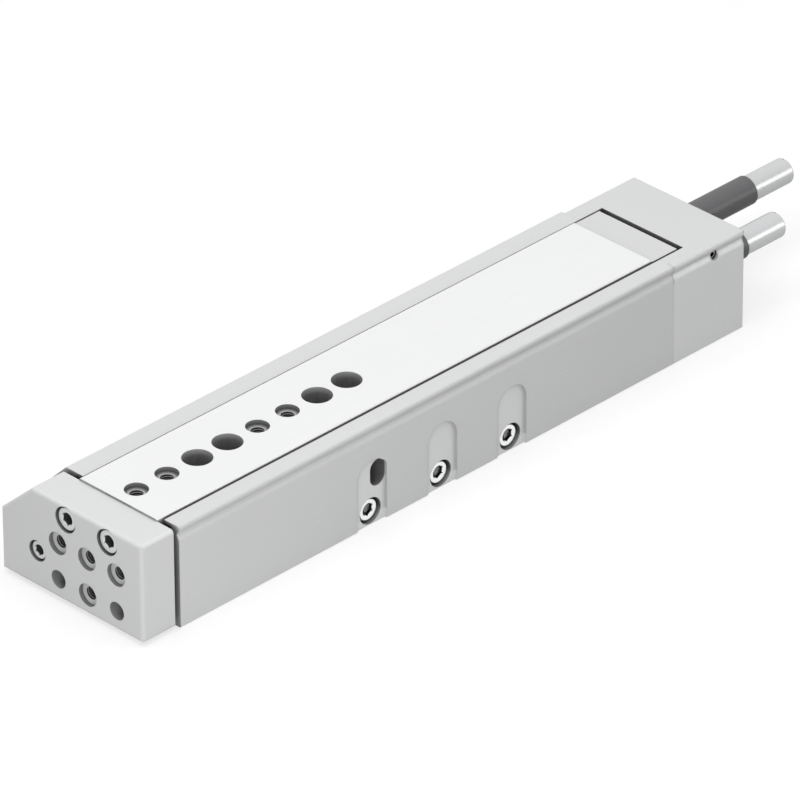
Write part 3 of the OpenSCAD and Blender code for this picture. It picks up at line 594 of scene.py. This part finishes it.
# The yoke's screw heads end this far below the tops of their solids
SINK = 0.6 * MM
YOKE_SCREW = {"head_h": 8 * MM - SINK, "shank_r": 4 * MM, "length": 28 * MM, "hex_flat": 6 * MM}
ROD_SCREW = {"head_h": 6 * MM - SINK, "shank_r": 3 * MM, "length": 30 * MM, "hex_flat": 5 * MM}
PLUG_HEAD = 2.4 * MM

screw_low, screw_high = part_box("yoke_screws")
screw_r = (screw_high.z - screw_low.z) / 2
for side, y in (("left", screw_low.y + screw_r), ("right", screw_high.y - screw_r)):
    top = (screw_high.x - SINK, y, screw_low.z + screw_r)
    socket_screw(
        f"yoke_screw_{side}", top, (1, 0, 0), screw_r, **YOKE_SCREW, body="slide",
        look=NODE_LOOKS["yoke_screws"], slot="screw_steel")
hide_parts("yoke_screws")

rod_low, rod_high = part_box("rod_screw")
rod_r = (rod_high.z - rod_low.z) / 2
top = (rod_high.x - SINK, (rod_low.y + rod_high.y) / 2, rod_low.z + rod_r)
rod_head = socket_screw(
    "rod_screw_head", top, (1, 0, 0), rod_r, **ROD_SCREW, body="slide",
    look=NODE_LOOKS["rod_screw"], slot="screw_steel")
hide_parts("rod_screw")

plug_low, plug_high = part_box("side_plugs")
plug_r = (plug_high.z - plug_low.z) / 2
plug_middle = (plug_low.x + plug_high.x) / 2
side_plug = {"head_h": PLUG_HEAD, "shank_r": 4.8 * MM, "length": plug_high.y - plug_low.y - PLUG_HEAD,
             "hex_flat": 6 * MM}
for label, x in (("front", plug_high.x - plug_r), ("middle", plug_middle), ("rear", plug_low.x + plug_r)):
    socket_screw(
        f"side_plug_{label}", (x, plug_high.y, plug_low.z + plug_r), (0, 1, 0), plug_r, **side_plug,
        body="housing", look=LOOKS["screw_steel"], slot="screw_steel")
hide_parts("side_plugs")

# ------------------------------------------------------------------ floor and backdrop
WHITE = (1, 1, 1, 1)
PAPER_DULL = (0.38, 0.38, 0.38, 1)
PAPER_BRIGHT = (0.40, 0.40, 0.40, 1)
PAPER_GLOW = 0.66
FLOOR_BOUNCE = (0.39, 0.39, 0.39, 1)
FLOOR_SIZE = 6.0
FLOOR_DROP = 0.05 * MM
AMBIENT = 0.42


def pale_floor():
    """White paper: seen straight it glows to white and keeps a faint shadow. It lights the object less."""
    look = Look("floor_paper")
    fibres = look.noise(FIBRES, detail=3.0)
    paper = look.mix(look.spread(fibres, 0.0, 1.0), PAPER_DULL, PAPER_BRIGHT)
    straight = look.seen_straight()
    look.put("Base Color", look.mix(straight, FLOOR_BOUNCE, paper))
    look.put("Roughness", 0.9)
    look.put("Specular IOR Level", 0.0)
    look.put("Emission Color", WHITE)
    look.put("Emission Strength", look.math("MULTIPLY", straight, PAPER_GLOW))
    return look.material


def floor_plane():
    shape = bmesh.new()
    bmesh.ops.create_grid(shape, x_segments=2, y_segments=2, size=FLOOR_SIZE)
    floor = add_object("floor", shape, pale_floor())
    floor.location = (0, 0, -FLOOR_DROP)


def studio_world():
    """White where it is seen or mirrored, and a soft ambient light on the object."""
    world = bpy.data.worlds.new("studio")
    bpy.context.scene.world = world
    world.use_nodes = True
    tree = NodeTree(world.node_tree)
    ambient = tree.node("ShaderNodeBackground", {"Color": WHITE, "Strength": AMBIENT})
    backdrop = tree.node("ShaderNodeBackground", {"Color": WHITE, "Strength": 1.0})
    mixed = tree.node("ShaderNodeMixShader", {0: tree.seen_straight(), 1: ambient.outputs[0],
                                              2: backdrop.outputs[0]})
    tree.node("ShaderNodeOutputWorld", {"Surface": mixed.outputs[0]})


floor_plane()
studio_world()


# ------------------------------------------------------------------ lamps
def softbox(name, place, aim, width, height, power):
    lamp = bpy.data.lights.new(name, "AREA")
    lamp.shape = "RECTANGLE"
    lamp.size = width
    lamp.size_y = height
    lamp.energy = power
    holder = bpy.data.objects.new(name, lamp)
    holder.location = place
    holder.rotation_euler = (Vector(aim) - Vector(place)).to_track_quat("-Z", "Y").to_euler()
    bpy.context.scene.collection.objects.link(holder)
    return holder


softbox("overhead", place=(0.1, 0.0, 2.2), aim=(0, 0, 0), width=2.4, height=2.4, power=32.0)
softbox("front_fill", place=(0.6, 0.5, 0.12), aim=(0.2, 0.0, 0.02), width=0.3, height=0.2, power=1.3)
# This card shows in the plated pieces, but doesn't light them
card = softbox("reflector", place=(-1.4, 1.5, 0.42), aim=(-0.2, 0.0, 0.03), width=1.2, height=0.8, power=6.4)
card.visible_diffuse = False

# ------------------------------------------------------------------ camera
# Fitted to the corners and holes of the object
CAMERA_AT = (2.74342, 2.74702, 2.37743)
CAMERA_AZIMUTH = math.radians(135.0217)
CAMERA_ELEVATION = math.radians(31.2530)
CAMERA_ROLL = math.radians(-0.2904)
SENSOR_WIDTH = 36.0
FOCAL_LENGTH = 419.85
CLIP_END = 50.0

back = Vector((math.sin(CAMERA_AZIMUTH) * math.cos(CAMERA_ELEVATION),
               -math.cos(CAMERA_AZIMUTH) * math.cos(CAMERA_ELEVATION),
               math.sin(CAMERA_ELEVATION)))
level = Vector((math.cos(CAMERA_AZIMUTH), math.sin(CAMERA_AZIMUTH), 0.0))
upright = back.cross(level)
right = math.cos(CAMERA_ROLL) * level + math.sin(CAMERA_ROLL) * upright
up = math.cos(CAMERA_ROLL) * upright - math.sin(CAMERA_ROLL) * level
lens = bpy.data.cameras.new("camera")
lens.sensor_width = SENSOR_WIDTH
lens.lens = FOCAL_LENGTH
lens.clip_end = CLIP_END
camera = bpy.data.objects.new("camera", lens)
camera.matrix_world = Matrix.Translation(CAMERA_AT) @ Matrix((right, up, back)).transposed().to_4x4()
bpy.context.scene.collection.objects.link(camera)
bpy.context.scene.camera = camera

bpy.context.scene.view_settings.view_transform = "Standard"
